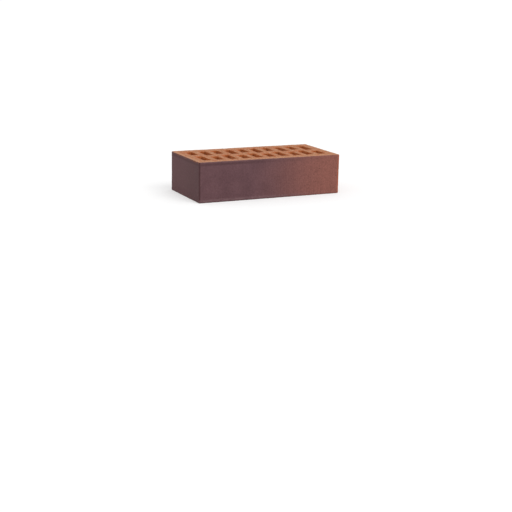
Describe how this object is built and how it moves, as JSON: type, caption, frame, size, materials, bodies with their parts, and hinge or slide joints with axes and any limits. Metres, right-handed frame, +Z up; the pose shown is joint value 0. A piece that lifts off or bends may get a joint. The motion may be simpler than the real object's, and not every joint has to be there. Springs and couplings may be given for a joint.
{
  "type": "perforated clay facing brick",
  "caption": "Fired clay facing brick with staggered rectangular slots from bed to bed, flashed plum-brown faces fading to terracotta and rounded arrises.",
  "frame": {"origin": "middle of the lower bed face", "axes": "+X along the brick from header face to header face, +Y across it from stretcher face to stretcher face, +Z up through the beds"},
  "size_m": [0.25, 0.12, 0.065],
  "materials": {
    "fired_clay": "matt fired clay: plum-brown flashed faces fading to terracotta, orange clay on the beds and in the slots"
  },
  "bodies": {
    "root": {"brick": "fired_clay"}
  },
  "joints": []
}
